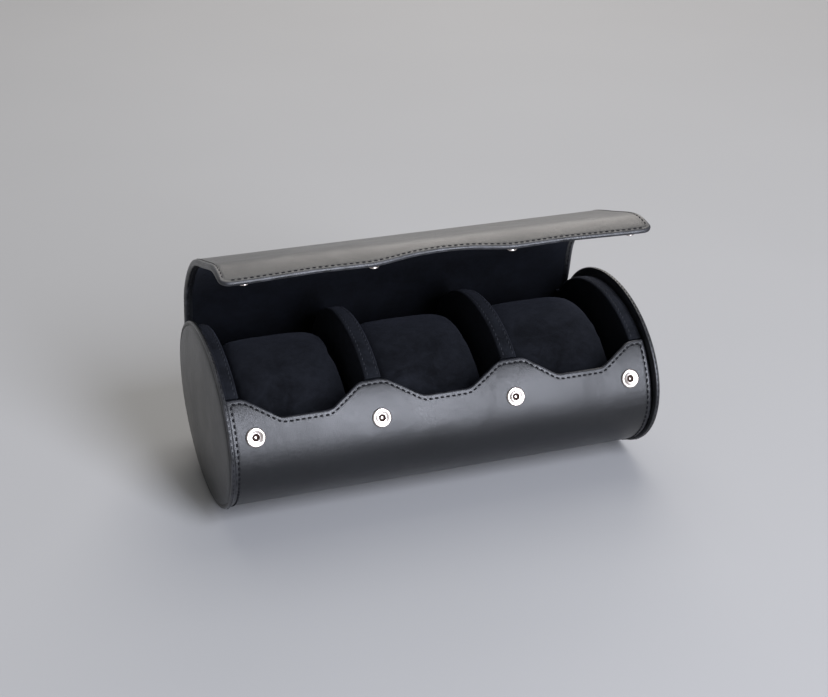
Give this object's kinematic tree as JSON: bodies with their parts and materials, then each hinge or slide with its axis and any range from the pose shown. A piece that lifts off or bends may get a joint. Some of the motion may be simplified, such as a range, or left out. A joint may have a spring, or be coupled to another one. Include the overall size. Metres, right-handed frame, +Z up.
{
  "type": "watch travel case",
  "caption": "Oval leather travel roll for wristwatches, with cushioned bays, suede walls and a hinged lid that folds over and snaps shut.",
  "frame": {"origin": "middle of the flat strip underneath that the roll stands on", "axes": "+X along the roll, +Y to the back where the lid is hinged, +Z up"},
  "size_m": [0.2886, 0.1571, 0.1728],
  "materials": {
    "leather": "smooth, satin",
    "board": "plain fibreboard",
    "suede": "napped suede",
    "cushion": "napped suede over foam",
    "nickel": "polished"
  },
  "bodies": {
    "trough": {"left_cap_board": "board", "left_cap_leather": "leather", "left_cap_rim": "leather", "left_divider_core": "board", "left_divider_left_face": "suede", "left_divider_right_face": "suede", "left_divider_rim_band": "leather", "left_end_wall_core": "board", "left_end_wall_right_face": "suede", "left_end_wall_rim_band": "leather", "right_cap_board": "board", "right_cap_leather": "leather", "right_cap_rim": "leather", "right_divider_core": "board", "right_divider_left_face": "suede", "right_divider_right_face": "suede", "right_divider_rim_band": "leather", "right_end_wall_core": "board", "right_end_wall_left_face": "suede", "right_end_wall_rim_band": "leather", "snap_socket_far_left": "nickel", "snap_socket_far_right": "nickel", "snap_socket_left": "nickel", "snap_socket_right": "nickel", "trough_board": "board", "trough_leather": "leather", "trough_lining": "suede"},
    "lid": {"lid_board": "board", "lid_leather": "leather", "lid_lining": "suede"},
    "flap": {"flap_board": "board", "flap_leather": "leather", "flap_lining": "suede", "snap_stud_far_left": "nickel", "snap_stud_far_right": "nickel", "snap_stud_left": "nickel", "snap_stud_right": "nickel"},
    "left_cushion": {"left_cushion": "cushion"},
    "middle_cushion": {"middle_cushion": "cushion"},
    "right_cushion": {"right_cushion": "cushion"}
  },
  "joints": [
    {"name": "lid_hinge", "type": "hinge", "parent": "trough", "child": "lid", "pos_m": [0, 0.07064, 0.08085], "axis": [-1, 0, 0], "range_deg": [-33.5, 61.5]},
    {"name": "flap_fold", "type": "hinge", "parent": "lid", "child": "flap", "pos_m": [0, -0.00889, 0.16415], "axis": [-1, 0, 0], "range_deg": [-20.5, 19.5]},
    {"name": "left_cushion_lift", "type": "slide", "parent": "trough", "child": "left_cushion", "axis": [0, 0, 1], "range_m": [0, 0.038]},
    {"name": "middle_cushion_lift", "type": "slide", "parent": "trough", "child": "middle_cushion", "axis": [0, 0, 1], "range_m": [0, 0.038]},
    {"name": "right_cushion_lift", "type": "slide", "parent": "trough", "child": "right_cushion", "axis": [0, 0, 1], "range_m": [0, 0.038]}
  ]
}
